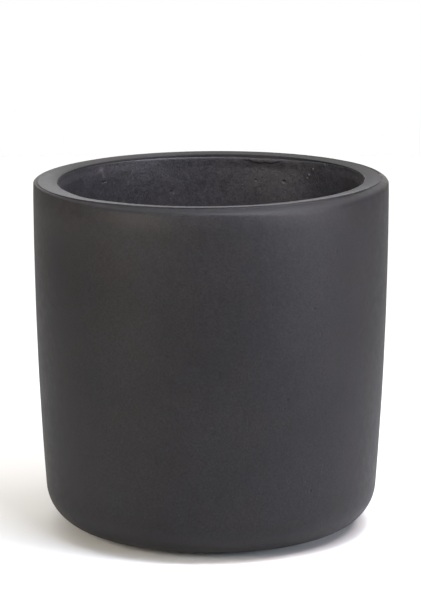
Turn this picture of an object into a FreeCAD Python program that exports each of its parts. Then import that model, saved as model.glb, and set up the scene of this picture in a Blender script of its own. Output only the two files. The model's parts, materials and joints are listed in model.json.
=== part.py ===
import FreeCAD, Part
import math
import os

import Sketcher

# An empty candle jar, free-standing: a thick cast cup with a crowned rim and a rounded heel, a thin
# coat that seals it inside, and four round pads let into its underside.
# Millimetres. +Z is up and is the jar's axis, -Y is the front, and the origin is the middle of the
# surface that the pads stand on. Each piece is drawn about its own origin: the cup and its coat
# measure their heights from the cup's underside, and a pad from its own underside.

# Driving dimensions: alias, value, meaning. Lengths are in millimetres and angles in degrees.
DIMENSIONS = [
    ("rim_radius", 45.0, "outside radius of the cup at its rim"),
    ("shell_height", 89.0, "cup's underside to the top of its rim"),
    ("belly_start", 83.0, "height where the straight collar ends and the wall starts to lean in"),
    ("belly_radius", 1030.0, "radius of the wall's long curve, seen from the side"),
    ("heel_radius", 10.6, "radius of the round corner between wall and underside"),
    ("land_radius", 43.4, "radius where the rim's flat top ends and its crown begins"),
    ("crown_radius", 2.2, "radius of the arc that leads outwards off the flat top"),
    ("rim_edge_radius", 0.8, "radius of the tighter arc between the crown and the wall"),
    ("rim_inner_round", 0.3, "radius of the rim's inner edge"),
    ("mouth_radius", 38.8, "inside radius of the bare casting at the mouth"),
    ("mouth_depth", 14.0, "length of the straight mouth, from the rim down"),
    ("cavity_draft", 1.4, "lean of the inner wall below the mouth"),
    ("floor_thickness", 8.0, "thickness of the cup's floor"),
    ("floor_fillet", 9.0, "radius of the corner between inner wall and floor"),
    ("lining_thickness", 0.4, "thickness of the sealing coat"),
    ("lining_drop", 0.45, "top of the rim down to the coat's top edge"),
    ("pad_radius", 6.0, "radius of a foot pad"),
    ("pad_thickness", 2.0, "thickness of a foot pad"),
    ("pad_edge_round", 0.3, "radius of a pad's lower edge"),
    ("pad_circle", 24.0, "distance of the pads' centres from the axis"),
    ("pad_count", 4, "number of pads, evenly spaced"),
    ("recess_depth", 1.0, "depth of the recess that takes a pad"),
    ("recess_clearance", 0.3, "gap round a pad in its recess"),
]

# Where each pad stands, as an angle about +Z from +X.
FOOT_PADS = {
    "foot_pad_front_right": -45.0,
    "foot_pad_back_right": 45.0,
    "foot_pad_back_left": 135.0,
    "foot_pad_front_left": 225.0,
}

NEAR = 1e-6  # how close two lengths are when they are the same edge
ORIGIN = (-1, 1)  # a sketch's origin point, as geometry and point number
UPRIGHT_AXIS = -2  # a sketch's vertical axis
START, END, CENTRE = 1, 2, 3  # point numbers on a line, an arc or a circle


def add_dimensions(doc):
    """The sheet of driving dimensions, one row each: its name, its value by that alias, its meaning."""
    sheet = doc.addObject("Spreadsheet::Sheet", "dims")
    for row, (alias, value, meaning) in enumerate(DIMENSIONS, start=1):
        sheet.set(f"A{row}", alias)
        sheet.set(f"B{row}", str(value))
        sheet.setAlias(f"B{row}", alias)
        sheet.set(f"C{row}", meaning)
    doc.recompute()
    return sheet


def vector(x, y):
    return FreeCAD.Vector(x, y, 0)


def line(start, end):
    return Part.LineSegment(vector(*start), vector(*end))


def arc(centre, radius, first_angle, last_angle):
    circle = Part.Circle(vector(*centre), FreeCAD.Vector(0, 0, 1), radius)
    return Part.ArcOfCircle(circle, first_angle, last_angle)


def origin_feature(body, role):
    return next(item for item in body.Origin.OriginFeatures if item.Role == role)


def new_sketch(body, role, name):
    """A sketch on one of the body's own origin planes."""
    sketch = body.newObject("Sketcher::SketchObject", name)
    sketch.AttachmentSupport = [(origin_feature(body, role), "")]
    sketch.MapMode = "FlatFace"
    return sketch


def relate(sketch, *relations):
    """Adds constraints that have no size, each given as its kind and what it holds together."""
    for relation in relations:
        sketch.addConstraint(Sketcher.Constraint(*relation))


def measure(sketch, name, kind, *places, value, rule):
    """Adds one sized constraint, starting at value and bound to rule."""
    number = sketch.addConstraint(Sketcher.Constraint(kind, *places, value))
    sketch.renameConstraint(number, name)
    sketch.setExpression(f"Constraints.{name}", rule)


def measure_x(sketch, name, point, value, rule):
    measure(sketch, name, "DistanceX", *ORIGIN, *point, value=value, rule=rule)


def measure_y(sketch, name, point, value, rule):
    measure(sketch, name, "DistanceY", *ORIGIN, *point, value=value, rule=rule)


def turn(body, sketch, kind, name):
    """A full turn of the sketch about its upright axis: a Revolution adds it, a Groove cuts it."""
    feature = body.newObject(f"PartDesign::{kind}", name)
    feature.Profile = sketch
    feature.ReferenceAxis = (sketch, ["V_Axis"])
    feature.Angle = 360.0
    body.Document.recompute()
    return feature


def circles_at(shape, radius, height):
    """Names of the shape's circular edges of this radius at this height."""
    names = []
    for number, edge in enumerate(shape.Edges, start=1):
        curve = edge.Curve
        if not isinstance(curve, Part.Circle):
            continue
        if abs(curve.Radius - radius) < NEAR and abs(curve.Center.z - height) < NEAR:
            names.append(f"Edge{number}")
    return names


def round_edge(body, name, radius, height, rule):
    """Rounds the body's circular edge of this radius at this height."""
    base = body.Tip
    edges = circles_at(base.Shape, radius, height)
    if not edges:
        raise RuntimeError(f"{name} finds no circular edge")
    fillet = body.newObject("PartDesign::Fillet", name)
    fillet.Base = (base, edges)
    fillet.setExpression("Radius", rule)
    body.Document.recompute()


def draw_outside(sketch, sheet):
    """Half the cup's outline, solid to the axis: underside, heel, long curve, collar, crown, top."""
    rim, height = sheet.rim_radius, sheet.shell_height
    land, crown, edge = sheet.land_radius, sheet.crown_radius, sheet.rim_edge_radius
    belly, heel, belly_start = sheet.belly_radius, sheet.heel_radius, sheet.belly_start
    belly_x = rim - belly
    heel_x = belly_x + math.sqrt((belly - heel) ** 2 - (belly_start - heel) ** 2)
    meeting = math.atan2(heel - belly_start, heel_x - belly_x)
    edge_x = rim - edge
    crown_y = height - crown
    edge_y = crown_y + math.sqrt((crown - edge) ** 2 - (edge_x - land) ** 2)
    parting = math.atan2(edge_y - crown_y, edge_x - land)
    underside, heel_arc, belly_arc, collar, edge_arc, crown_arc, top, middle = range(8)
    sketch.addGeometry(
        [
            line((0, 0), (heel_x, 0)),
            arc((heel_x, heel), heel, -math.pi / 2, meeting),
            arc((belly_x, belly_start), belly, meeting, 0),
            line((rim, belly_start), (rim, edge_y)),
            arc((edge_x, edge_y), edge, 0, parting),
            arc((land, crown_y), crown, parting, math.pi / 2),
            line((land, height), (0, height)),
            line((0, height), (0, 0)),
        ]
    )
    relate(
        sketch,
        ("Coincident", underside, START, *ORIGIN),
        ("Horizontal", underside),
        ("Tangent", underside, END, heel_arc, START),
        ("Tangent", heel_arc, END, belly_arc, START),
        ("Tangent", belly_arc, END, collar, START),
        ("Vertical", collar),
        ("Tangent", collar, END, edge_arc, START),
        ("Tangent", edge_arc, END, crown_arc, START),
        ("Tangent", crown_arc, END, top, START),
        ("Horizontal", top),
        ("PointOnObject", top, END, UPRIGHT_AXIS),
        ("Coincident", top, END, middle, START),
        ("Coincident", middle, END, underside, START),
    )
    measure(sketch, "heel", "Radius", heel_arc, value=heel, rule="dims.heel_radius")
    measure(sketch, "belly", "Radius", belly_arc, value=belly, rule="dims.belly_radius")
    measure(sketch, "edge", "Radius", edge_arc, value=edge, rule="dims.rim_edge_radius")
    measure(sketch, "crown", "Radius", crown_arc, value=crown, rule="dims.crown_radius")
    measure_x(sketch, "rim", (collar, START), rim, "dims.rim_radius")
    measure_x(sketch, "land", (top, START), land, "dims.land_radius")
    measure_y(sketch, "belly_start", (collar, START), belly_start, "dims.belly_start")
    measure_y(sketch, "top", (top, START), height, "dims.shell_height")


def draw_cavity(sketch, sheet):
    """Half the cup's hollow, with a sharp corner at the floor: floor, leaning wall, straight mouth."""
    mouth, height, floor_height = sheet.mouth_radius, sheet.shell_height, sheet.floor_thickness
    mouth_foot = height - sheet.mouth_depth
    lean = math.radians(sheet.cavity_draft)
    floor_radius = mouth - (mouth_foot - floor_height) * math.tan(lean)
    floor, wall, straight, top, middle = range(5)
    sketch.addGeometry(
        [
            line((0, floor_height), (floor_radius, floor_height)),
            line((floor_radius, floor_height), (mouth, mouth_foot)),
            line((mouth, mouth_foot), (mouth, height)),
            line((mouth, height), (0, height)),
            line((0, height), (0, floor_height)),
        ]
    )
    relate(
        sketch,
        ("PointOnObject", floor, START, UPRIGHT_AXIS),
        ("Horizontal", floor),
        ("Coincident", floor, END, wall, START),
        ("Coincident", wall, END, straight, START),
        ("Vertical", straight),
        ("Coincident", straight, END, top, START),
        ("Horizontal", top),
        ("PointOnObject", top, END, UPRIGHT_AXIS),
        ("Coincident", top, END, middle, START),
        ("Coincident", middle, END, floor, START),
    )
    measure(
        sketch,
        "lean",
        "Angle",
        wall,
        value=math.pi / 2 - lean,
        rule="(90 - dims.cavity_draft) * 1 deg",
    )
    measure_x(sketch, "mouth", (straight, START), mouth, "dims.mouth_radius")
    measure_y(sketch, "floor", (floor, START), floor_height, "dims.floor_thickness")
    measure_y(
        sketch, "mouth_foot", (straight, START), mouth_foot, "dims.shell_height - dims.mouth_depth"
    )
    measure_y(sketch, "top", (straight, END), height, "dims.shell_height")
    return floor_radius


def draw_circle(sketch, radius, radius_rule, angle=None, pad_circle=None):
    """One circle, on the sketch's origin or, given an angle, where the pad at that angle stands."""
    if angle is None:
        centre = (0, 0)
    else:
        turned = math.radians(angle)
        centre = (pad_circle * math.cos(turned), pad_circle * math.sin(turned))
    ring = sketch.addGeometry(Part.Circle(vector(*centre), FreeCAD.Vector(0, 0, 1), radius))
    middle = (ring, CENTRE)
    if angle is None:
        relate(sketch, ("Coincident", *middle, *ORIGIN))
    else:
        measure_x(sketch, "across", middle, centre[0], f"dims.pad_circle * cos({angle} deg)")
        measure_y(sketch, "along", middle, centre[1], f"dims.pad_circle * sin({angle} deg)")
    measure(sketch, "radius", "Radius", ring, value=radius, rule=radius_rule)


def make_cast_shell(doc, sheet):
    """The cup: turned outside, turned hollow, rounded edges, and a ring of recesses underneath."""
    body = doc.addObject("PartDesign::Body", "cast_shell")
    outside = new_sketch(body, "XZ_Plane", "outside_profile")
    draw_outside(outside, sheet)
    solid = turn(body, outside, "Revolution", "solid_cup")
    cavity = new_sketch(body, "XZ_Plane", "cavity_profile")
    floor_radius = draw_cavity(cavity, sheet)
    hollow = turn(body, cavity, "Groove", "cavity")
    height, floor_height = sheet.shell_height, sheet.floor_thickness
    round_edge(body, "rim_inner_edge", sheet.mouth_radius, height, "dims.rim_inner_round")
    round_edge(body, "floor_corner", floor_radius, floor_height, "dims.floor_fillet")
    rounded = body.Tip

    recess_sketch = new_sketch(body, "XY_Plane", "recess_outline")
    first_angle = next(iter(FOOT_PADS.values()))
    draw_circle(
        recess_sketch,
        sheet.pad_radius + sheet.recess_clearance,
        "dims.pad_radius + dims.recess_clearance",
        first_angle,
        sheet.pad_circle,
    )
    recess = body.newObject("PartDesign::Pocket", "recess")
    recess.Profile = recess_sketch
    recess.Reversed = True
    recess.setExpression("Length", "dims.recess_depth")
    doc.recompute()
    recesses = body.newObject("PartDesign::PolarPattern", "recesses")
    recesses.Originals = [recess]
    recesses.Axis = (origin_feature(body, "Z_Axis"), [""])
    recesses.Angle = 360.0
    recesses.setExpression("Occurrences", "dims.pad_count")
    body.Tip = recesses
    body.setExpression("Placement.Base.z", "dims.pad_thickness - dims.recess_depth")
    doc.recompute()

    one_recess = math.pi * (sheet.pad_radius + sheet.recess_clearance) ** 2 * sheet.recess_depth
    expect_volume("cavity", solid.Shape.Volume - hollow.Shape.Volume, cavity_volume(sheet))
    expect_volume(
        "recesses", rounded.Shape.Volume - recesses.Shape.Volume, sheet.pad_count * one_recess
    )
    return body


def cavity_volume(sheet):
    """The hollow before its floor corner is rounded: a straight cylinder on a frustum."""
    mouth = sheet.mouth_radius
    leaning = sheet.shell_height - sheet.mouth_depth - sheet.floor_thickness
    foot = mouth - leaning * math.tan(math.radians(sheet.cavity_draft))
    frustum = math.pi * leaning * (mouth**2 + mouth * foot + foot**2) / 3
    return frustum + math.pi * mouth**2 * sheet.mouth_depth


def expect_volume(name, measured, expected):
    if abs(measured - expected) > 1e-3 * expected:
        raise RuntimeError(f"{name} takes away {measured:.1f}, not {expected:.1f}")


def draw_lining(sketch, sheet):
    """Half the coat's section: the hollow's floor, corner, wall and mouth, and the same again inside."""
    coat, fillet = sheet.lining_thickness, sheet.floor_fillet
    mouth, floor_height = sheet.mouth_radius, sheet.floor_thickness
    mouth_foot = sheet.shell_height - sheet.mouth_depth
    bead = coat / 2
    bead_height = sheet.shell_height - sheet.lining_drop - bead
    lean = math.radians(sheet.cavity_draft)

    def corner(wall_radius, level, radius):
        """Centre and upper end of the arc that joins a floor at this level to the wall above it."""
        centre_y = level + radius
        wall_x = wall_radius - (mouth_foot - centre_y) * math.tan(lean)
        centre_x = wall_x - radius / math.cos(lean)
        end = (centre_x + radius * math.cos(lean), centre_y - radius * math.sin(lean))
        return (centre_x, centre_y), end

    outer_centre, outer_end = corner(mouth, floor_height, fillet)
    inner_centre, inner_end = corner(mouth - coat, floor_height + coat, fillet - coat)
    inner_level = floor_height + coat
    (
        under,
        outer_corner,
        outer_wall,
        outer_mouth,
        top_bead,
        inner_mouth,
        inner_wall,
        inner_corner,
        inner_floor,
        middle,
    ) = range(10)
    sketch.addGeometry(
        [
            line((0, floor_height), (outer_centre[0], floor_height)),
            arc(outer_centre, fillet, -math.pi / 2, -lean),
            line(outer_end, (mouth, mouth_foot)),
            line((mouth, mouth_foot), (mouth, bead_height)),
            arc((mouth - bead, bead_height), bead, 0, math.pi),
            line((mouth - coat, bead_height), (mouth - coat, mouth_foot)),
            line((mouth - coat, mouth_foot), inner_end),
            arc(inner_centre, fillet - coat, -math.pi / 2, -lean),
            line((inner_centre[0], inner_level), (0, inner_level)),
            line((0, inner_level), (0, floor_height)),
        ]
    )
    relate(
        sketch,
        ("PointOnObject", under, START, UPRIGHT_AXIS),
        ("Horizontal", under),
        ("Tangent", under, END, outer_corner, START),
        ("Tangent", outer_corner, END, outer_wall, START),
        ("Coincident", outer_wall, END, outer_mouth, START),
        ("Vertical", outer_mouth),
        ("Tangent", outer_mouth, END, top_bead, START),
        ("Tangent", top_bead, END, inner_mouth, START),
        ("Vertical", inner_mouth),
        ("Coincident", inner_mouth, END, inner_wall, START),
        ("Parallel", outer_wall, inner_wall),
        ("Tangent", inner_wall, END, inner_corner, END),
        ("Tangent", inner_corner, START, inner_floor, START),
        ("Horizontal", inner_floor),
        ("PointOnObject", inner_floor, END, UPRIGHT_AXIS),
        ("Coincident", inner_floor, END, middle, START),
        ("Coincident", middle, END, under, START),
    )
    mouth_foot_rule = "dims.shell_height - dims.mouth_depth"
    measure(
        sketch,
        "lean",
        "Angle",
        outer_wall,
        value=math.pi / 2 - lean,
        rule="(90 - dims.cavity_draft) * 1 deg",
    )
    measure(sketch, "corner", "Radius", outer_corner, value=fillet, rule="dims.floor_fillet")
    measure(sketch, "bead", "Radius", top_bead, value=bead, rule="dims.lining_thickness / 2")
    measure(
        sketch,
        "inner_corner",
        "Radius",
        inner_corner,
        value=fillet - coat,
        rule="dims.floor_fillet - dims.lining_thickness",
    )
    measure_x(sketch, "mouth", (outer_mouth, START), mouth, "dims.mouth_radius")
    measure_y(sketch, "floor", (under, START), floor_height, "dims.floor_thickness")
    measure_y(sketch, "mouth_foot", (outer_mouth, START), mouth_foot, mouth_foot_rule)
    measure_y(sketch, "inner_foot", (inner_mouth, END), mouth_foot, mouth_foot_rule)
    measure_y(
        sketch,
        "bead_height",
        (outer_mouth, END),
        bead_height,
        "dims.shell_height - dims.lining_drop - dims.lining_thickness / 2",
    )
    measure_y(
        sketch,
        "inner_floor",
        (inner_floor, START),
        inner_level,
        "dims.floor_thickness + dims.lining_thickness",
    )


def make_sealer_lining(doc, sheet):
    """The coat on the inside of the cup, face to face with it all over."""
    body = doc.addObject("PartDesign::Body", "sealer_lining")
    section = new_sketch(body, "XZ_Plane", "lining_section")
    draw_lining(section, sheet)
    turn(body, section, "Revolution", "coat")
    body.setExpression("Placement.Base.z", "dims.pad_thickness - dims.recess_depth")
    doc.recompute()
    return body


def make_foot_pad(doc, sheet, name, angle):
    """One pad: a disc with a rounded lower edge, its top in the cup's recess."""
    body = doc.addObject("PartDesign::Body", name)
    outline = new_sketch(body, "XY_Plane", f"{name}_outline")
    draw_circle(outline, sheet.pad_radius, "dims.pad_radius")
    disc = body.newObject("PartDesign::Pad", f"{name}_disc")
    disc.Profile = outline
    disc.setExpression("Length", "dims.pad_thickness")
    doc.recompute()
    round_edge(body, f"{name}_edge", sheet.pad_radius, 0, "dims.pad_edge_round")
    body.setExpression("Placement.Base.x", f"dims.pad_circle * cos({angle} deg)")
    body.setExpression("Placement.Base.y", f"dims.pad_circle * sin({angle} deg)")
    doc.recompute()
    return body


def check_model(doc, bodies):
    """Stops at any failed object, any loose sketch and any piece that isn't one valid solid."""
    for item in doc.Objects:
        if {"Invalid", "Error"} & set(item.State):
            raise RuntimeError(f"{item.Name} is {item.State}")
        if item.TypeId == "Sketcher::SketchObject" and not item.FullyConstrained:
            raise RuntimeError(f"{item.Name} isn't fully constrained")
    for body in bodies:
        shape = body.Shape
        if shape.isNull() or not shape.isValid() or len(shape.Solids) != 1:
            raise RuntimeError(f"{body.Label} isn't one valid solid")


def main():
    doc = FreeCAD.newDocument("candle_jar")
    sheet = add_dimensions(doc)
    bodies = [make_cast_shell(doc, sheet), make_sealer_lining(doc, sheet)]
    bodies += [make_foot_pad(doc, sheet, name, angle) for name, angle in FOOT_PADS.items()]
    doc.recompute()
    check_model(doc, bodies)
    os.makedirs("parts", exist_ok=True)
    for body in bodies:
        body.Shape.exportStep(f"parts/{body.Label}.step")
        box = body.Shape.BoundBox
        print(
            f"{body.Label}: {body.Shape.Volume:.0f} mm3,"
            f" X {box.XMin:.2f} to {box.XMax:.2f},"
            f" Y {box.YMin:.2f} to {box.YMax:.2f},"
            f" Z {box.ZMin:.2f} to {box.ZMax:.2f}"
        )


main()
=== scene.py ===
import json
import math
import random

import bmesh
import bpy
import numpy as np
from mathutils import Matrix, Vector, kdtree, noise
from mathutils.geometry import delaunay_2d_cdt


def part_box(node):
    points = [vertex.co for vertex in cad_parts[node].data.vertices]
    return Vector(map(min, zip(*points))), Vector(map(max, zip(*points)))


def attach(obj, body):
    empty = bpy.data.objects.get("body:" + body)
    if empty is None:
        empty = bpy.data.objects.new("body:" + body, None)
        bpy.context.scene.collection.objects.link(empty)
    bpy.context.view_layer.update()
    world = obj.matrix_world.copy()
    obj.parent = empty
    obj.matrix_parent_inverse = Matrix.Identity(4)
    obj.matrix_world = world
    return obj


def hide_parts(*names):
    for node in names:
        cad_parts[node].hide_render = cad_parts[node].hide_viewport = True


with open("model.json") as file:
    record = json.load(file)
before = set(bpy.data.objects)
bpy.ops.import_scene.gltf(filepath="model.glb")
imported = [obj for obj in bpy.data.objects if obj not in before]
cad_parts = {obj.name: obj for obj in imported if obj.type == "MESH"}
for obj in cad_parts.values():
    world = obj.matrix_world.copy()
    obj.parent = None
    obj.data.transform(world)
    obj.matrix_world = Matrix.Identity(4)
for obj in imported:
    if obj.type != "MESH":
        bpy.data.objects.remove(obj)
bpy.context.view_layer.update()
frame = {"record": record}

# The looks of an empty candle jar: a cast cement cup, the coat that seals it inside and its four
# rubber feet. Metres throughout, with MM for sizes given in millimetres. +Z is up and -Y is the
# front. A bearing is an angle about +Z, from +X, and a drop is a distance below the top of the rim.

MM = 0.001

# Read from the frame.
shell_low, shell_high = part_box("cast_shell")
coat_low, coat_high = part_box("sealer_lining")
mouth_mount = next(mount for mount in frame["record"]["mounts"] if mount["name"] == "mouth")
RIM_RADIUS = shell_high.x
TOP = shell_high.z
UNDERSIDE = shell_low.z
CAST_MOUTH = coat_high.x
COAT_MOUTH = mouth_mount["dims"]["r_mm"] * MM
COAT = CAST_MOUTH - COAT_MOUTH
COAT_TOP = coat_high.z
CAST_FLOOR = coat_low.z

# The same sections as the design's, where the frame doesn't say them.
BELLY_START = UNDERSIDE + 83.0 * MM
BELLY_RADIUS = 1030.0 * MM
HEEL_RADIUS = 10.6 * MM
MOUTH_FOOT = TOP - 14.0 * MM
CAVITY_LEAN = math.radians(1.4)
FLOOR_FILLET = 9.0 * MM
RECESS_GAP = 0.3 * MM
RECESS_DEPTH = 1.0 * MM
RECESS_LIP = 0.25 * MM
FOOT_EDGE = 0.3 * MM

BEARINGS = 384  # columns of faces round the jar
LOWEST_MARK = 76  # how far down the outside the scattered marks go, in mm
LOWEST_INSIDE_MARK = 66  # the same on the inside
FEET = ("front_left", "front_right", "back_left", "back_right")

# The rim was ground flat by hand, so its shape changes round the jar. Each row is a bearing in
# degrees, the radius in mm where the flat ends, the depth in mm of the rounded shoulder outside it, the
# angle in degrees at which that shoulder starts, the height in mm of the small step between the two,
# the rounding in mm of the inner edge, and how pale the flat is coloured: partly dust left by the
# grinding, partly a painted reflection of the bright surround on the flat. The same column sets the
# fainter painted light on the top of the wall below, at the front and left. More than 1 is pale right
# through the material's blotches.
RIM_SHAPE = (
    (-172, 44.2, 0.6, 0, 0.00, 0.5, 1.50),
    (-155, 43.7, 0.8, 10, 0.10, 1.0, 1.50),
    (-140, 43.2, 1.2, 24, 0.25, 2.0, 1.35),
    (-122, 42.1, 1.6, 26, 0.28, 1.2, 1.00),
    (-103, 41.9, 1.7, 22, 0.28, 1.2, 0.70),
    (-88, 41.5, 1.6, 18, 0.28, 0.9, 0.70),
    (-76, 41.3, 2.0, 18, 0.28, 0.8, 0.66),
    (-66, 41.4, 2.6, 18, 0.32, 0.4, 0.66),
    (-55, 41.1, 3.0, 20, 0.42, 0.3, 0.95),
    (-38, 41.6, 2.4, 22, 0.34, 0.3, 0.80),
    (-24, 42.1, 1.9, 20, 0.15, 0.3, 0.57),
    (-4, 43.3, 1.5, 14, 0.00, 0.3, 0.32),
    (30, 43.8, 1.2, 0, 0.00, 0.3, 0.10),
    (90, 43.9, 1.1, 0, 0.00, 0.3, 0.00),
    (150, 44.1, 0.8, 0, 0.00, 0.4, 0.44),
)
LEAST_STEP = 0.04 * MM  # added to the step, so that it has faces where it dies away
RIM_LEAN = 1.5 * MM  # how far the top of the wall would lean in at the front, without a shoulder
RIM_SLANT = 0.35 * MM  # the rim's middle is this far below its highest side
HIGH_SIDE = math.radians(-12)  # bearing of that side
SLANT_REACH = 20.0 * MM  # how far down the slant dies away

# How far the coat's top edge stands out from the coat's face: a thick roll on the far side, and a thin
# feathered edge at the sides. Each row is a bearing in degrees and a distance in mm.
LIP_ROLL = (
    (-90, -0.10),
    (-30, -0.33),
    (20, -0.34),
    (36, -0.25),
    (46, 0.00),
    (54, 0.22),
    (66, 0.34),
    (84, 0.30),
    (98, 0.20),
    (112, 0.05),
    (130, -0.15),
    (146, -0.33),
    (180, -0.34),
    (220, -0.20),
)
LIP_THINNEST = -0.36  # in mm, which leaves a little of the coat's thickness
LIP_FADE = 2.6 * MM  # how far below the lip its roll has died away

# Marks that the jar has where they can be seen: bearing in degrees, drop in mm, radius in mm,
# height in mm (a pit is less than 0), and how many times wider than high it is.
OUTSIDE_MARKS = (
    (-68, 2.0, 0.50, -0.30, 1.3),
    (-86, 1.1, 0.22, 0.07, 1.0),
    (-98, 1.5, 0.20, 0.06, 1.0),
    (-110, 2.6, 0.24, 0.07, 1.0),
    (-106, 2.6, 0.20, 0.06, 1.0),
    (-102, 5.7, 0.22, 0.07, 1.0),
    (-47, 12.8, 0.34, -0.22, 1.0),
    (-56, 26.2, 0.36, -0.16, 1.8),
    (-53, 32.7, 0.26, -0.16, 1.0),
    (-65, 48.2, 0.28, -0.18, 1.0),
    (-66, 50.5, 0.24, -0.16, 1.0),
    (-55, 72.5, 0.30, -0.18, 1.0),
    (-47, 81.3, 0.30, -0.18, 1.0),
    (-124, 80.1, 0.28, -0.16, 1.0),
)
INSIDE_MARKS = (
    (60, 6.9, 0.50, -0.20, 1.4),
    (72, 7.1, 0.34, -0.12, 1.1),
    (106, 10.2, 0.40, -0.18, 1.0),
    (105, 10.9, 0.36, 0.06, 1.0),
    (137, 5.8, 0.40, -0.16, 2.6),
    (138, 3.3, 1.00, 0.12, 0.5),
    (130, 2.0, 0.38, -0.14, 1.0),
    (46, 2.6, 0.42, 0.14, 1.0),
    (48, 4.3, 0.42, 0.14, 1.0),
    (49, 5.2, 0.36, 0.12, 1.0),
    (40, 1.1, 0.70, 0.16, 1.2),
)
# Pale places painted on the coat: chalky streaks and specks, painted glints on three blisters and a
# painted highlight beside a pit, and a broad, faint painted pool of light on the far wall. Each row
# is bearing in degrees, drop, half width and half height in mm, and strength.
CHALK_AND_PAINTED_LIGHT = (
    (138, 2.4, 1.3, 1.6, 0.12),
    (137, 4.2, 0.9, 1.4, 0.16),
    # A broad, faint painted pool of light on the far inner wall.
    (57, 9.0, 11.0, 7.0, 0.05),
    # Painted glints on the three blisters, then a painted highlight beside a pit.
    (46, 2.6, 0.5, 0.5, 0.45),
    (48, 4.3, 0.5, 0.5, 0.45),
    (49, 5.2, 0.4, 0.4, 0.40),
    (63, 6.7, 0.4, 0.3, 0.25),
    (105, 10.9, 0.5, 0.4, 0.16),
)
SAG_BEARINGS = (60.5, 77.0)  # where the sag that hangs off the coat's lip begins and ends, in degrees


# ---- Sections, as (radius, height) points ----


def arc(centre, radius, first, last, count):
    """Points of an arc from the first angle to the last, in radians."""
    turn = np.linspace(first, last, count)
    return np.column_stack([centre[0] + radius * np.cos(turn), centre[1] + radius * np.sin(turn)])


def run(start, end, count):
    """Evenly spaced points of a straight run, both ends included."""
    return np.linspace(start, end, count)


def joined(*stretches):
    """One outline of several stretches, with each shared end kept once."""
    return np.concatenate([stretches[0]] + [stretch[1:] for stretch in stretches[1:]])


def cavity_side(mouth, level, fillet, counts):
    """The cavity's wall, from the straight mouth down its lean and round to the floor at this level."""
    centre_z = level + fillet
    wall_x = mouth - (MOUTH_FOOT - centre_z) * math.tan(CAVITY_LEAN)
    centre = (wall_x - fillet / math.cos(CAVITY_LEAN), centre_z)
    corner = arc(centre, fillet, -CAVITY_LEAN, -math.pi / 2, counts[1])
    return joined(run((mouth, MOUTH_FOOT), corner[0], counts[0]), corner)


def rim_shape(bearing):
    """RIM_SHAPE's values at this bearing, in its order, in metres and radians."""
    degrees = math.degrees(bearing)
    columns = list(zip(*RIM_SHAPE))
    flat, depth, start, step, inner, pale_dust_and_light = (
        np.interp(degrees, columns[0], column, period=360) for column in columns[1:]
    )
    return flat * MM, depth * MM, math.radians(start), step * MM, inner * MM, pale_dust_and_light


def upper_wall(depth, bearing):
    """The wall above the belly, up to the shoulder's depth, which leans in a little at the front."""
    lean = RIM_LEAN * max(-math.sin(bearing), 0)
    heights = np.linspace(BELLY_START, TOP - depth, 10)
    share = (heights - BELLY_START) / (TOP - BELLY_START)
    return np.column_stack([RIM_RADIUS - lean * share**2, heights])


def shoulder(wall, flat, start, step):
    """The rounded shoulder on top of this wall, a curve with four points, and the step up to the flat."""
    step_slope = 0.3  # how much the step widens for its height
    wall_pull, step_pull = 0.6, 0.5  # how far the curve keeps to the wall's line and to the step's
    foot = wall[-1]
    head = np.array([flat + step_slope * step + LEAST_STEP, TOP - step - LEAST_STEP])
    upwards = (wall[-1] - wall[-2]) / (wall[-1] - wall[-2])[1]
    lower = foot + wall_pull * (head[1] - foot[1]) * upwards
    upper = head + step_pull * (foot[0] - head[0]) * np.array([1, -math.tan(start)])
    share = np.linspace(0, 1, 19)[:, None]
    rest = 1 - share
    curve = (
        rest**3 * foot + 3 * rest**2 * share * lower + 3 * rest * share**2 * upper + share**3 * head
    )
    return joined(curve, run(head, (flat, TOP), 5))


def slanted(points, bearing):
    """The same section with its rim lowered by the rim's slant at this bearing."""
    lift = -RIM_SLANT * (1 - math.cos(bearing - HIGH_SIDE))
    share = np.clip((points[:, 1] - TOP + SLANT_REACH) / SLANT_REACH, 0, 1)
    lowered = points.copy()
    lowered[:, 1] += lift * share * share * (3 - 2 * share)
    return lowered


def casting_outline(bearing):
    """The casting's section at one bearing: up the outside, over the rim and down the cavity."""
    flat, depth, start, step, inner, _ = rim_shape(bearing)
    belly_x = RIM_RADIUS - BELLY_RADIUS
    heel_z = UNDERSIDE + HEEL_RADIUS
    inner_belly = BELLY_RADIUS - HEEL_RADIUS
    heel_x = belly_x + math.sqrt(inner_belly**2 - (BELLY_START - heel_z) ** 2)
    meeting = math.atan2(heel_z - BELLY_START, heel_x - belly_x)
    inner_centre = (CAST_MOUTH + inner, TOP - inner)
    wall = upper_wall(depth, bearing)
    behind_lip = COAT_TOP - 6 * COAT
    return joined(
        arc((heel_x, heel_z), HEEL_RADIUS, -math.pi / 2, meeting, 22),
        arc((belly_x, BELLY_START), BELLY_RADIUS, meeting, 0, 100),
        wall,
        shoulder(wall, flat, start, step),
        run((flat, TOP), (inner_centre[0], TOP), 8),
        arc(inner_centre, inner, math.pi / 2, math.pi, 8),
        run((CAST_MOUTH, TOP - inner), (CAST_MOUTH, behind_lip), 5),
        run((CAST_MOUTH, behind_lip), (CAST_MOUTH, MOUTH_FOOT), 4),
        cavity_side(CAST_MOUTH, CAST_FLOOR, FLOOR_FILLET, (6, 6)),
    )


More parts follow.
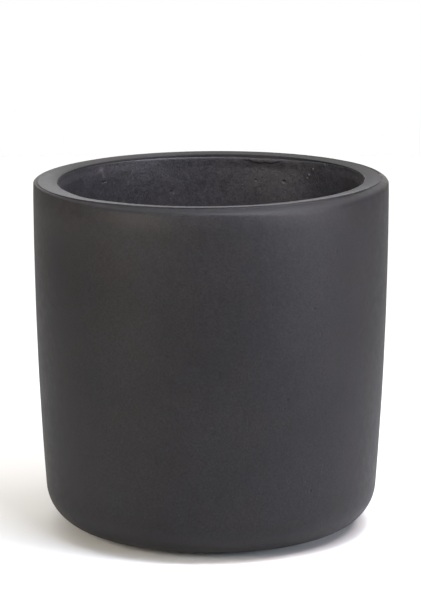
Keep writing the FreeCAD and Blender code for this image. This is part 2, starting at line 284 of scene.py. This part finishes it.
def coat_outline(lip, sink):
    """The coat's section at one bearing: up its back, over a rounded lip that stands out by lip and
    lies lower by sink, and down its face."""
    back = cavity_side(CAST_MOUTH, CAST_FLOOR, FLOOR_FILLET, (6, 6))[::-1]
    face = cavity_side(COAT_MOUTH, CAST_FLOOR + COAT, FLOOR_FILLET - COAT, (86, 20))
    lip_top = COAT_TOP - sink
    lip_half = (COAT + lip) / 2
    turn = np.linspace(0, math.pi, 9)
    bead = np.column_stack(
        [CAST_MOUTH - lip_half + lip_half * np.cos(turn), lip_top - COAT + COAT * np.sin(turn)]
    )
    fade = np.linspace(0, 1, 9)[1:]
    faded = fade * fade * (3 - 2 * fade)
    under_lip = np.column_stack([COAT_MOUTH - lip * (1 - faded), lip_top - COAT - LIP_FADE * fade])
    return joined(
        back,
        run(back[-1], bead[0], 6),
        bead,
        np.concatenate([bead[-1:], under_lip]),
        run(under_lip[-1], face[0], 18),
        face,
    )


# ---- Meshes ----


def skin(bm, rings, outwards=True):
    """Joins each ring of vertices to the next with quads that face outwards, or inwards."""
    count = len(rings[0])
    for first, second in zip(rings, rings[1:]):
        for here in range(count):
            there = (here + 1) % count
            left, right = (here, there) if outwards else (there, here)
            bm.faces.new((first[left], first[right], second[right], second[left]))


def sweep(bm, outlines):
    """Joins one outline per bearing into a skin of quads, and returns its rings of vertices."""
    count = len(outlines)
    bearings = [2 * math.pi * number / count for number in range(count)]
    rings = []
    for points in np.swapaxes(np.array(outlines), 0, 1):
        rings.append(
            [
                bm.verts.new((radius * math.cos(bearing), radius * math.sin(bearing), height))
                for bearing, (radius, height) in zip(bearings, points)
            ]
        )
    skin(bm, rings)
    return rings


def turned(bm, centre, outline, count):
    """Turns an outline about an upright axis through centre, and returns its rings of vertices. Its
    quads face inwards where the outline climbs and outwards where it goes down."""
    bearings = [2 * math.pi * number / count for number in range(count)]
    rings = []
    for radius, height in outline:
        rings.append(
            [
                bm.verts.new(
                    (
                        centre.x + radius * math.cos(bearing),
                        centre.y + radius * math.sin(bearing),
                        height,
                    )
                )
                for bearing in bearings
            ]
        )
    skin(bm, rings, outwards=False)
    return rings


def fill_flat(bm, rings, spacing, up):
    """Fills the level area inside the first ring and outside the others with even triangles."""
    boundary = [vert for ring in rings for vert in ring]
    points = [vert.co.to_2d() for vert in boundary]
    edges = []
    holes = []
    for ring in rings:
        start = len(edges)
        count = len(ring)
        edges += [(start + here, start + (here + 1) % count) for here in range(count)]
        middle = sum((vert.co.to_2d() for vert in ring), Vector((0, 0))) / count
        holes.append((middle, (ring[0].co.to_2d() - middle).length))
    middle, reach = holes.pop(0)
    row_height = spacing * math.sqrt(3) / 2
    rows = int(reach / row_height)
    for row in range(-rows, rows + 1):
        for column in range(-rows - 1, rows + 2):
            place = middle + Vector(((column + row % 2 / 2) * spacing, row * row_height))
            if (place - middle).length > reach - spacing / 2:
                continue
            if all((place - hole).length > radius + spacing / 2 for hole, radius in holes):
                points.append(place)
    same_place = 1e-9
    places, _, faces, sources, _, _ = delaunay_2d_cdt(points, edges, [], 0, same_place)
    level = boundary[0].co.z
    verts = []
    for place, source in zip(places, sources):
        known = [number for number in source if number < len(boundary)]
        verts.append(boundary[known[0]] if known else bm.verts.new((*place, level)))
    just_inside = 0.9985  # leaves out the slivers along a hole's edge, and keeps what is outside it
    for face in faces:
        centre = sum((places[number] for number in face), Vector((0, 0))) / len(face)
        if any((centre - hole).length < radius * just_inside for hole, radius in holes):
            continue
        order = face if up else face[::-1]
        bm.faces.new([verts[number] for number in order])


def refine(bm, spots, cuts):
    """Divides the faces near each spot, a place and its reach, so that small marks have shape."""
    bm.faces.ensure_lookup_table()
    tree = kdtree.KDTree(len(bm.faces))
    for number, face in enumerate(bm.faces):
        tree.insert(face.calc_center_median(), number)
    tree.balance()
    near = {number for place, reach in spots for _, number, _ in tree.find_range(place, reach)}
    edges = {edge for number in near for edge in bm.faces[number].edges}
    bmesh.ops.subdivide_edges(bm, edges=list(edges), cuts=cuts, use_grid_fill=True)
    many_sided = [face for face in bm.faces if len(face.verts) > 4]
    bmesh.ops.triangulate(bm, faces=many_sided)


def wall_place(bearing, drop, radius_at):
    """The point on a wall at this bearing in degrees and this drop in mm."""
    height = TOP - drop * MM
    radius = radius_at(height)
    turn = math.radians(bearing)
    return Vector((radius * math.cos(turn), radius * math.sin(turn), height))


def eased(value):
    """A smooth rise from 0 to 1, held at both ends."""
    value = min(max(value, 0), 1)
    return value * value * (3 - 2 * value)


def stamp(bm, marks):
    """Presses each mark, its place, radius, height and stretch, into the skin along its normals. A pit
    has a level floor and soft sides, and a grain is rounded all over."""
    pit_side = 0.5  # the share of a pit's radius that its sides take up
    raggedness = 0.3
    farthest = 1.4  # ragged marks reach this far, in radii
    bm.verts.ensure_lookup_table()
    bm.normal_update()
    normals = [vert.normal.copy() for vert in bm.verts]
    tree = kdtree.KDTree(len(bm.verts))
    for number, vert in enumerate(bm.verts):
        tree.insert(vert.co, number)
    tree.balance()
    moves = {}
    for place, radius, height, stretch in marks:
        along = Vector((-place.y, place.x, 0)).normalized()
        for _, number, _ in tree.find_range(place, radius * max(stretch, 1) * farthest):
            offset = bm.verts[number].co - place
            side = offset.dot(along)
            rest = (offset - along * side).length
            distance = math.hypot(side / stretch, rest) / radius
            ragged = noise.noise(offset.normalized() * 1.3 + place / MM)
            distance *= 1 + raggedness * ragged
            if height < 0:
                share = eased((1 - distance) / pit_side)
            else:
                share = eased(1 - distance)
            moves[number] = moves.get(number, 0) + height * share
    for number, move in moves.items():
        bm.verts[number].co += normals[number] * move


def outside_radius(height):
    """Radius of the outer wall above the heel."""
    return RIM_RADIUS - max(BELLY_START - height, 0) ** 2 / (2 * BELLY_RADIUS)


def inside_radius(height):
    """Radius of the coat's face above the floor's corner."""
    return COAT_MOUTH - max(MOUTH_FOOT - height, 0) * math.tan(CAVITY_LEAN)


def placed(marks, radius_at):
    """The marks in the tuples that stamp() reads, on the wall that has this radius at each height."""
    return [
        (wall_place(bearing, drop, radius_at), radius * MM, height * MM, stretch)
        for bearing, drop, radius, height, stretch in marks
    ]


def scattered(draw, count, lowest, sizes, depth_share):
    """Marks at random bearings and drops, in the tuples that placed() reads."""
    highest = 1.5
    marks = []
    for _ in range(count):
        radius = draw.uniform(*sizes)
        marks.append(
            (
                draw.uniform(0, 360),
                draw.uniform(highest, lowest),
                radius,
                depth_share * radius * draw.uniform(0.6, 1.1),
                draw.uniform(0.8, 1.6),
            )
        )
    return marks


def reaches(marks, margin):
    """Each mark's place, and its reach with this margin, as refine() reads them."""
    return [(place, radius * max(stretch, 1) + margin) for place, radius, _, stretch in marks]


def roughen(bm, moves):
    """Moves each vertex along its normal by what moves() gives for its place."""
    bm.normal_update()
    shifts = [(vert, vert.normal * moves(vert.co)) for vert in bm.verts]
    for vert, shift in shifts:
        vert.co += shift


def finish_mesh(bm, name, body="root"):
    """Turns the mesh into a smooth-shaded object that rides on its body."""
    mesh = bpy.data.meshes.new(name)
    bm.to_mesh(mesh)
    bm.free()
    mesh.shade_smooth()
    piece = bpy.data.objects.new(name, mesh)
    bpy.context.collection.objects.link(piece)
    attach(piece, body)
    return piece


def recess_rings(bm):
    """The four recesses in the underside, each with a softened lip. Returns their outer rings."""
    rings = []
    for foot in FEET:
        low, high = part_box(f"foot_pad_{foot}")
        centre = ((low + high) / 2).to_2d()
        radius = (high.x - low.x) / 2 + RECESS_GAP
        lip_foot = (radius, UNDERSIDE + RECESS_LIP)
        lip_centre = (radius + RECESS_LIP, UNDERSIDE + RECESS_LIP)
        outline = joined(
            arc(lip_centre, RECESS_LIP, -math.pi / 2, -math.pi, 5),
            run(lip_foot, (radius, UNDERSIDE + RECESS_DEPTH), 4),
        )
        own_rings = turned(bm, centre, outline, 72)
        top_ring = own_rings[-1]
        fill_flat(bm, [top_ring], (top_ring[0].co - top_ring[1].co).length * 2, False)
        rings.append(own_rings[0])
    return rings


def make_casting():
    """The cast cup: its skin, recesses, air pits and hand-finished unevenness."""
    bm = bmesh.new()
    outlines = []
    for number in range(BEARINGS):
        bearing = 2 * math.pi * number / BEARINGS
        outlines.append(slanted(casting_outline(bearing), bearing))
    rings = sweep(bm, outlines)
    fill_flat(bm, [rings[0]] + recess_rings(bm), 1.5 * MM, False)
    fill_flat(bm, [rings[-1]], 6 * MM, True)

    draw = random.Random(11)
    marks = placed(OUTSIDE_MARKS, outside_radius)
    marks += placed(scattered(draw, 60, LOWEST_MARK, (0.10, 0.22), -0.6), outside_radius)
    marks += placed(scattered(draw, 50, LOWEST_MARK, (0.12, 0.22), 0.3), outside_radius)
    rim_pits, rim_pit_depth = 26, 0.12 * MM
    for _ in range(rim_pits):
        bearing = draw.uniform(0, 2 * math.pi)
        reach = draw.uniform(40.0, 43.5) * MM
        place = Vector((reach * math.cos(bearing), reach * math.sin(bearing), TOP))
        marks.append((place, draw.uniform(0.14, 0.3) * MM, -rim_pit_depth, 1.0))
    base_pits, base_pit_depth, base_reach = 40, 0.3 * MM, 33 * MM
    for _ in range(base_pits):
        bearing = draw.uniform(0, 2 * math.pi)
        reach = math.sqrt(draw.uniform(0, 1)) * base_reach
        place = Vector((reach * math.cos(bearing), reach * math.sin(bearing), UNDERSIDE))
        marks.append((place, draw.uniform(0.25, 0.7) * MM, -base_pit_depth, 1.0))
    refine(bm, reaches(marks, 0.7 * MM), 3)
    stamp(bm, marks)

    broad_size, local_size, most = 26 * MM, 7 * MM, 0.10 * MM

    def unevenness(place):
        """A slight loss of cement everywhere, less in some places than in others."""
        broad = noise.noise(place / broad_size)
        local = noise.noise(place / local_size)
        return -(0.5 + 0.35 * broad + 0.15 * local) * most

    roughen(bm, unevenness)
    # No grain stands above the CAD rim.
    for vert in bm.verts:
        vert.co.z = min(vert.co.z, TOP)
    mark_rim_dust_and_painted_light(bm)
    piece = finish_mesh(bm, "jar_casting")
    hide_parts("cast_shell")
    return piece


def mark_rim_dust_and_painted_light(bm):
    """Records on each vertex whether it's on the rim's flat, and how pale it is coloured there, partly
    dust from the grinding and partly a painted reflection, and, much more faintly, the painted light
    that lightens the top of the wall below at the front and left, fading downwards."""
    level = 0.975  # least rise of a normal on the flat
    fully_level = 0.02  # how much more than that is quite flat
    full_pale_reach = 3.5 * MM  # how far out from the inner edge the flat reaches its full paleness
    wall_reach = 24 * MM  # how far down the painted light on the top of the wall dies away
    wall_share = 0.10
    first_bearing, full_turn = math.radians(-35), math.radians(30)
    flat = bm.verts.layers.float.new("rim_flat")
    dust_and_painted_light = bm.verts.layers.float.new("dust_and_painted_light")
    bm.normal_update()
    for vert in bm.verts:
        radial = math.hypot(vert.co.x, vert.co.y)
        bearing = math.atan2(vert.co.y, vert.co.x)
        if vert.normal.z > level and vert.co.z > TOP - 2 * MM:
            vert[flat] = eased((vert.normal.z - level) / fully_level)
            # The pale flat: partly grinding dust, partly a painted reflection of the bright surround.
            inwards = (radial - CAST_MOUTH) / full_pale_reach
            vert[dust_and_painted_light] = vert[flat] * rim_shape(bearing)[5] * (0.5 + 0.5 * eased(inwards))
        elif radial > RIM_RADIUS - 3 * MM:
            # Painted light: the top of the wall is lighter at the front and left, fading downwards.
            top_light = eased(1 - (TOP - vert.co.z) / wall_reach)
            at_front = eased((first_bearing - bearing) / full_turn)
            if top_light * at_front > 0:
                vert[dust_and_painted_light] = wall_share * rim_shape(bearing)[5] * top_light * at_front


def make_coat():
    """The coat inside the cup: a wavering lip below the rim, a sag, blisters and brush-like lumps."""
    bm = bmesh.new()
    outlines = []
    for number in range(BEARINGS):
        bearing = 2 * math.pi * number / BEARINGS
        around = Vector((math.cos(bearing), math.sin(bearing), 0))
        roll = np.interp(math.degrees(bearing), *zip(*LIP_ROLL), period=360)
        lip = max(roll + 0.10 * noise.noise(around * 9), LIP_THINNEST) * MM
        wander = 0.08 * noise.noise(around * 4 + Vector((9, 0, 0)))
        sink = (0.12 + wander + 0.75 * min(roll, 0.2)) * MM
        below_edge = rim_shape(bearing)[4] - (TOP - COAT_TOP) + 0.05 * MM
        outlines.append(slanted(coat_outline(lip, max(sink, below_edge)), bearing))
    rings = sweep(bm, outlines)
    fill_flat(bm, [rings[0]], 6 * MM, False)
    fill_flat(bm, [rings[-1]], 1.1 * MM, True)

    draw = random.Random(23)
    marks = placed(INSIDE_MARKS, inside_radius)
    marks += placed(scattered(draw, 60, LOWEST_INSIDE_MARK, (0.12, 0.26), -0.5), inside_radius)
    marks += placed(scattered(draw, 90, LOWEST_INSIDE_MARK, (0.15, 0.32), 0.3), inside_radius)
    sag_drop = 1.7
    sag_spots = [
        (wall_place(bearing, sag_drop, inside_radius), sag_drop * MM) for bearing in range(60, 79, 2)
    ]
    refine(bm, reaches(marks, 0.6 * MM) + sag_spots, 3)
    stamp(bm, marks)

    coarse_size, fine_size = 4.5 * MM, 1.5 * MM

    def lumps(place):
        """Lumps on the coat's face only, so that its back and underside stay on the casting."""
        radial = math.hypot(place.x, place.y)
        if radial > inside_radius(place.z) + COAT / 2 or place.z < CAST_FLOOR + COAT / 2:
            return 0
        coarse = noise.noise(place / coarse_size)
        fine = noise.noise(place / fine_size)
        return (0.05 * coarse + 0.035 * fine) * MM

    roughen(bm, lumps)
    press_sag(bm)
    mark_chalk_and_painted_light(bm)
    piece = finish_mesh(bm, "inside_coat")
    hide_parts("sealer_lining")
    return piece


def press_sag(bm):
    """The long, flat-bottomed sag that hangs off the lip on the far side, with a ragged lower edge."""
    first, last = SAG_BEARINGS
    shallowest, deepest, raggedness = 1.3, 2.4, 0.35
    thickest = 0.30 * MM
    upper_fade, lower_fade = 1.2 * MM, 0.30 * MM
    lowest, behind_face = 4 * MM, 0.2 * MM
    for vert in bm.verts:
        bearing = math.degrees(math.atan2(vert.co.y, vert.co.x))
        along = (bearing - first) / (last - first)
        drop = TOP - vert.co.z
        radial = math.hypot(vert.co.x, vert.co.y)
        if not 0 < along < 1 or drop > lowest or radial > COAT_MOUTH + behind_face:
            continue
        reach = math.sin(math.pi * along) ** 0.5
        ragged = noise.noise(Vector((bearing * 0.45, 0, 0)))
        lower_edge = (shallowest + (deepest - shallowest) * reach + raggedness * ragged) * MM
        into = (lower_edge - drop) / lower_fade
        thickness = thickest * reach * eased(into) * eased(drop / upper_fade)
        vert.co.x *= 1 - thickness / radial
        vert.co.y *= 1 - thickness / radial


def mark_chalk_and_painted_light(bm):
    """Records on each vertex how pale the coat is painted there: chalky streaks and specks, and the
    painted glints, painted highlight and painted pool of light listed with them.
    """
    last_bearing, lowest = 160, 25  # nothing in the table of pale places reaches past these, in degrees and mm
    chalk_and_painted_light = bm.verts.layers.float.new("chalk_and_painted_light")
    for vert in bm.verts:
        bearing = math.degrees(math.atan2(vert.co.y, vert.co.x))
        drop = (TOP - vert.co.z) / MM
        if not 0 < bearing < last_bearing or drop > lowest:
            continue
        for middle, level, half_width, half_height, strength in CHALK_AND_PAINTED_LIGHT:
            across = math.radians(bearing - middle) * COAT_MOUTH / MM / half_width
            reach = math.hypot(across, (drop - level) / half_height)
            vert[chalk_and_painted_light] += strength * eased(1 - reach)


def make_foot(foot):
    """One rubber foot: a disc with a rounded lower edge and a moulded ring underneath."""
    low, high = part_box(f"foot_pad_{foot}")
    centre = ((low + high) / 2).to_2d()
    radius = (high.x - low.x) / 2
    edge = FOOT_EDGE
    bm = bmesh.new()
    outline = joined(
        run((radius, high.z), (radius, low.z + edge), 6),
        arc((radius - edge, low.z + edge), edge, 0, -math.pi / 2, 7),
        run((radius - edge, low.z), (radius - 3 * edge, low.z), 3),
        arc((radius - 4 * edge, low.z), edge, 0, math.pi, 9),
        run((radius - 5 * edge, low.z), (radius - 6 * edge, low.z), 2),
    )
    rings = turned(bm, centre, outline, 96)
    fill_flat(bm, [rings[0]], 1.0 * MM, True)
    fill_flat(bm, [rings[-1]], 0.5 * MM, False)
    piece = finish_mesh(bm, f"rubber_foot_{foot}")
    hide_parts(f"foot_pad_{foot}")
    return piece


# ---- Materials ----


def new_material(name):
    """A material with a bare Principled shader, and its node tree and that shader."""
    material = bpy.data.materials.new(name)
    material.use_nodes = True
    tree = material.node_tree
    tree.nodes.clear()
    output = tree.nodes.new("ShaderNodeOutputMaterial")
    shader = tree.nodes.new("ShaderNodeBsdfPrincipled")
    tree.links.new(shader.outputs["BSDF"], output.inputs["Surface"])
    return material, tree, shader


def add(tree, kind, inputs=None, **settings):
    """A node with its settings, and each named input set to a value or linked to a socket."""
    made = tree.nodes.new(f"ShaderNode{kind}")
    for key, value in settings.items():
        setattr(made, key, value)
    for key, value in (inputs or {}).items():
        if isinstance(value, bpy.types.NodeSocket):
            tree.links.new(value, made.inputs[key])
        else:
            made.inputs[key].default_value = value
    return made


def in_millimetres(tree):
    """The place on the piece, in millimetres."""
    coordinates = add(tree, "TexCoord")
    return add(
        tree,
        "VectorMath",
        {0: coordinates.outputs["Object"], 1: (1 / MM,) * 3},
        operation="MULTIPLY",
    ).outputs["Vector"]


def patches(tree, place, size, detail=3.0, roughness=0.55, shift=0.0):
    """Noise from 0 to 1 whose patches are about size mm across."""
    moved = add(tree, "VectorMath", {0: place, 1: (shift, shift, shift)}, operation="ADD")
    made = add(
        tree,
        "TexNoise",
        {
            "Vector": moved.outputs["Vector"],
            "Scale": 1 / size,
            "Detail": detail,
            "Roughness": roughness,
        },
    )
    return made.outputs["Fac"]


def span(tree, value, low, high, to_low, to_high):
    """Maps value from low..high to to_low..to_high, held at both ends."""
    made = add(
        tree,
        "MapRange",
        {
            "Value": value,
            "From Min": low,
            "From Max": high,
            "To Min": to_low,
            "To Max": to_high,
        },
    )
    return made.outputs["Result"]


def blend(tree, share, first, second, how="MIX"):
    """A colour mixed from two, each a colour or a socket."""
    made = add(tree, "Mix", data_type="RGBA", blend_type=how)
    for index, value in ((0, share), (6, first), (7, second)):
        if isinstance(value, bpy.types.NodeSocket):
            tree.links.new(value, made.inputs[index])
        elif index == 0:
            made.inputs[index].default_value = value
        else:
            made.inputs[index].default_value = (*value, 1)
    return made.outputs[2]


def relief(tree, height, distance, strength, below=None):
    """A bump of this height field, on top of another where one is given."""
    inputs = {"Height": height, "Distance": distance * MM, "Strength": strength}
    if below is not None:
        inputs["Normal"] = below
    return add(tree, "Bump", inputs).outputs["Normal"]


def combine(tree, first, second, operation="ADD"):
    """The sum, or other operation, of two numbers or sockets."""
    made = add(tree, "Math", operation=operation)
    for index, value in enumerate((first, second)):
        if isinstance(value, bpy.types.NodeSocket):
            tree.links.new(value, made.inputs[index])
        else:
            made.inputs[index].default_value = value
    return made.outputs[0]


def cement_material():
    """Charcoal cement: cloudy pigment, fine sand, pale flecks and a paler ground rim, partly dust and
    partly a painted reflection, with faint painted light on the top of the wall at the front and left.
    """
    material, tree, shader = new_material("charcoal_cement")
    place = in_millimetres(tree)
    cloud = patches(tree, place, 22, 4)
    drift = patches(tree, place, 9, 3, shift=40)
    mottle = patches(tree, place, 2.2, 4, shift=80)
    sand = patches(tree, place, 0.5, 3, 0.6)
    tone = blend(
        tree, span(tree, cloud, 0.3, 0.7, 0, 1), (0.0102, 0.0096, 0.0104), (0.0134, 0.0127, 0.0138)
    )
    hue = blend(tree, span(tree, drift, 0.35, 0.65, 0, 1), (0.97, 1.0, 1.03), (1.04, 0.99, 0.97))
    tone = blend(tree, 1.0, tone, hue, "MULTIPLY")
    speckle = combine(
        tree,
        span(tree, mottle, 0.3, 0.7, 0.90, 1.10),
        span(tree, sand, 0.3, 0.7, 0.62, 1.38),
        "MULTIPLY",
    )
    tone = blend(tree, 1.0, tone, speckle, "MULTIPLY")
    cells = add(tree, "TexVoronoi", {"Vector": place, "Scale": 0.55, "Randomness": 1.0})
    fleck = span(tree, cells.outputs["Distance"], 0.03, 0.09, 1, 0)
    chosen = span(tree, patches(tree, place, 1.3, 0, shift=120), 0.58, 0.6, 0, 1)
    fleck = combine(tree, combine(tree, fleck, chosen, "MULTIPLY"), 0.4, "MULTIPLY")
    fleck_colour = (0.065, 0.064, 0.062)
    tone = blend(tree, fleck, tone, fleck_colour)
    # Partly grinding dust, partly painted light: a painted reflection on the flat and a lighter wall top.
    dust_and_painted_light = add(tree, "Attribute", attribute_name="dust_and_painted_light").outputs["Fac"]
    dust_and_light_share = combine(tree, dust_and_painted_light, span(tree, mottle, 0.3, 0.7, 0.60, 1.15), "MULTIPLY")
    dust_and_light_colour = (0.080, 0.079, 0.078)
    tone = blend(tree, dust_and_light_share, tone, dust_and_light_colour)
    tree.links.new(tone, shader.inputs["Base Color"])
    rough = combine(
        tree, span(tree, mottle, 0.3, 0.7, 0.50, 0.58), span(tree, sand, 0.3, 0.7, -0.03, 0.03)
    )
    rim_flat = add(tree, "Attribute", attribute_name="rim_flat").outputs["Fac"]
    rough = combine(tree, rough, combine(tree, rim_flat, 0.2, "MULTIPLY"))
    tree.links.new(rough, shader.inputs["Roughness"])
    shader.inputs["Specular IOR Level"].default_value = 0.19
    coarse = relief(tree, mottle, 0.10, 0.35)
    fine = relief(tree, sand, 0.040, 0.6, coarse)
    tree.links.new(fine, shader.inputs["Normal"])
    return material


def coat_material():
    """The sealing coat: the same charcoal under a thin satin film, blotchy where it was brushed on, with
    chalky places, painted glints and highlight, and a painted pool of light on it.
    """
    material, tree, shader = new_material("sealing_coat")
    place = in_millimetres(tree)
    cloud = patches(tree, place, 11, 4)
    blotch = patches(tree, place, 1.6, 4, 0.65, shift=30)
    grit = patches(tree, place, 0.45, 3, 0.6, shift=60)
    tone = blend(
        tree, span(tree, cloud, 0.3, 0.7, 0, 1), (0.0200, 0.0194, 0.0217), (0.0253, 0.0243, 0.0275)
    )
    speckle = combine(
        tree,
        span(tree, blotch, 0.3, 0.7, 0.85, 1.15),
        span(tree, grit, 0.3, 0.7, 0.50, 1.50),
        "MULTIPLY",
    )
    tone = blend(tree, 1.0, tone, speckle, "MULTIPLY")
    # Chalky streaks, plus painted glints on blisters, a painted highlight by a pit and a painted pool of
    # light.
    chalk_and_painted_light = add(tree, "Attribute", attribute_name="chalk_and_painted_light").outputs["Fac"]
    chalk_and_painted_light = combine(tree, chalk_and_painted_light, span(tree, blotch, 0.3, 0.7, 0.5, 1.3), "MULTIPLY")
    chalk_and_painted_light_colour = (0.20, 0.195, 0.20)
    tone = blend(tree, chalk_and_painted_light, tone, chalk_and_painted_light_colour)
    tree.links.new(tone, shader.inputs["Base Color"])
    tree.links.new(span(tree, blotch, 0.3, 0.7, 0.40, 0.56), shader.inputs["Roughness"])
    shader.inputs["Specular IOR Level"].default_value = 0.35
    coarse = relief(tree, blotch, 0.16, 0.5)
    fine = relief(tree, grit, 0.08, 0.7, coarse)
    tree.links.new(fine, shader.inputs["Normal"])
    return material


def rubber_material():
    """Black rubber with a dusty bloom and a fine pebbled skin."""
    material, tree, shader = new_material("foot_rubber")
    place = in_millimetres(tree)
    bloom = patches(tree, place, 3, 4)
    pebble = patches(tree, place, 0.3, 2, 0.5, shift=20)
    tone = blend(tree, span(tree, bloom, 0.35, 0.7, 0, 1), (0.014, 0.014, 0.015), (0.030, 0.029, 0.028))
    tree.links.new(tone, shader.inputs["Base Color"])
    tree.links.new(span(tree, bloom, 0.3, 0.7, 0.62, 0.78), shader.inputs["Roughness"])
    tree.links.new(relief(tree, pebble, 0.05, 0.5), shader.inputs["Normal"])
    return material


def floor_material():
    """A pale matte sweep with the faintest unevenness."""
    material, tree, shader = new_material("pale_sweep")
    place = in_millimetres(tree)
    tone = blend(tree, patches(tree, place, 60, 3), (0.81, 0.81, 0.81), (0.84, 0.84, 0.84))
    tree.links.new(tone, shader.inputs["Base Color"])
    shader.inputs["Roughness"].default_value = 0.9
    shader.inputs["Specular IOR Level"].default_value = 0.2
    return material


# ---- Stage ----

# Soft lamps, one row each: name, bearing in degrees, height above the jar's middle, distance from its
# axis, width and height in rim radii, watts, tint, how many rim radii from the axis the point lies
# that it faces, at the height of the jar's middle, and whether it shows in gloss. The washes keep the
# floor pale, and light the jar softly.
LAMPS = (
    ("key_right_low", -8, 1.2, 9, (7, 2.4), 0.39, (1.00, 0.86, 0.90), 0, True),
    ("key_right_front", -35, 1.2, 9, (4, 2.4), 0.78, (0.75, 0.86, 1.00), 0, True),
    ("mid_right_front", -38, 2.8, 3.4, (1.5, 1.2), 0.24, (1.00, 0.90, 0.92), 0, True),
    ("high_right_front", -62, 5, 2.6, (3, 1), 0.60, (0.76, 0.82, 1.00), 0, True),
    ("high_right", 20, 7, 2.8, (3, 2), 0.48, (0.94, 0.95, 1.00), 0, True),
    ("fill_left_front", 225, 3, 9, (4, 4), 1.36, (1.00, 0.92, 0.80), 0, True),
    ("overhead", 90, 9, 2, (8, 8), 0.35, (1.00, 0.97, 0.94), 0, True),
    ("back", 90, 5, 14, (16, 8), 1.50, (1.00, 0.98, 0.94), 0, True),
    ("wash_top", 90, 9, 2, (8, 8), 0.62, (1.00, 0.96, 0.92), 0, False),
    ("wash_back", 90, 14, 10, (26, 16), 3.4, (1.00, 1.00, 1.00), 11, False),
    ("wash_front", -90, 14, 10, (26, 16), 2.2, (1.00, 0.99, 0.97), 11, False),
)
# The surround's soft glows, one row each: name, bearing of the middle in degrees, the cosines of the
# angles from that middle at which the glow starts and is full, the sines of the elevations at which it
# starts to fade upwards and is gone, and its strength.
GLOWS = (("sweep_behind", 78, 0.0, 0.8, 0.25, 0.60, 0.52),)
GLOW_COLOUR = (1.0, 0.955, 0.90, 1)
FLOOR_RADIUS = 13 * RIM_RADIUS


def make_floor():
    """A wide round sheet that the jar stands on."""
    bm = bmesh.new()
    bmesh.ops.create_circle(bm, cap_ends=True, radius=FLOOR_RADIUS, segments=96)
    mesh = bpy.data.meshes.new("pale_floor")
    bm.to_mesh(mesh)
    bm.free()
    floor = bpy.data.objects.new("pale_floor", mesh)
    bpy.context.collection.objects.link(floor)
    floor.data.materials.append(floor_material())


def make_light(name, bearing, height, distance, size, power, tint, facing, in_gloss):
    """A soft rectangular lamp, which isn't seen itself. It faces the jar, or a place farther out."""
    data = bpy.data.lights.new(name, "AREA")
    data.shape = "RECTANGLE"
    data.size = size[0] * RIM_RADIUS
    data.size_y = size[1] * RIM_RADIUS
    data.energy = power
    data.color = tint
    lamp = bpy.data.objects.new(name, data)
    lamp.visible_camera = False
    lamp.visible_glossy = in_gloss
    bpy.context.collection.objects.link(lamp)
    turn = math.radians(bearing)
    outwards = Vector((math.cos(turn), math.sin(turn), 0)) * RIM_RADIUS
    middle = Vector((0, 0, (TOP + UNDERSIDE) / 2))
    lamp.location = middle + outwards * distance + Vector((0, 0, height * RIM_RADIUS))
    target = middle + outwards * facing
    lamp.rotation_euler = (target - lamp.location).to_track_quat("-Z", "Y").to_euler()


def make_world():
    """The surround: the soft glows in GLOWS. Where the floor ends, the camera sees plain white."""
    world = bpy.data.worlds.new("surround")
    bpy.context.scene.world = world
    world.use_nodes = True
    tree = world.node_tree
    tree.nodes.clear()
    output = tree.nodes.new("ShaderNodeOutputWorld")
    direction = add(tree, "TexCoord").outputs["Generated"]
    total = 0.0
    height = add(tree, "SeparateXYZ", {"Vector": direction}).outputs["Z"]
    for name, bearing, first, last, fading, gone, strength in GLOWS:
        turn = math.radians(bearing)
        axis = (math.cos(turn), math.sin(turn), 0)
        facing = add(tree, "VectorMath", {0: direction, 1: axis}, operation="DOT_PRODUCT")
        glow = add(
            tree,
            "MapRange",
            {"Value": facing.outputs["Value"], "From Min": first, "From Max": last, "To Max": strength},
            interpolation_type="SMOOTHSTEP",
        )
        glow.name = name
        ceiling = add(
            tree,
            "MapRange",
            {"Value": height, "From Min": fading, "From Max": gone, "To Min": 1.0, "To Max": 0.0},
            interpolation_type="SMOOTHSTEP",
        )
        part = combine(tree, glow.outputs["Result"], ceiling.outputs["Result"], "MULTIPLY")
        total = combine(tree, total, part)
    light = add(tree, "Background", {"Color": GLOW_COLOUR, "Strength": total})
    seen = add(tree, "Background", {"Color": (1, 1, 1, 1), "Strength": 1.0})
    rays = add(tree, "LightPath")
    mixed = add(tree, "MixShader", {0: rays.outputs["Is Camera Ray"]})
    tree.links.new(light.outputs[0], mixed.inputs[1])
    tree.links.new(seen.outputs[0], mixed.inputs[2])
    tree.links.new(mixed.outputs[0], output.inputs["Surface"])


def make_camera():
    """A long lens on the jar's front, a little above the rim, as fitted to the photo's outline."""
    pitch = math.radians(11.95)
    distance = 17.93 * RIM_RADIUS
    aim = Vector((-0.003, 0, 1.272)) * RIM_RADIUS + Vector((0, 0, UNDERSIDE))
    data = bpy.data.cameras.new("camera")
    data.sensor_width = 36.0
    data.lens = 189.9
    data.clip_end = 100 * RIM_RADIUS
    camera = bpy.data.objects.new("camera", data)
    bpy.context.collection.objects.link(camera)
    camera.location = aim + Vector((0, -math.cos(pitch), math.sin(pitch))) * distance
    camera.rotation_euler = (math.pi / 2 - pitch, 0, 0)
    bpy.context.scene.camera = camera


casting = make_casting()
casting.data.materials.append(cement_material())
coat = make_coat()
coat.data.materials.append(coat_material())
rubber = rubber_material()
for foot_name in FEET:
    make_foot(foot_name).data.materials.append(rubber)

make_floor()
make_world()
for lamp_row in LAMPS:
    make_light(*lamp_row)
make_camera()
bpy.context.scene.view_settings.view_transform = "Standard"
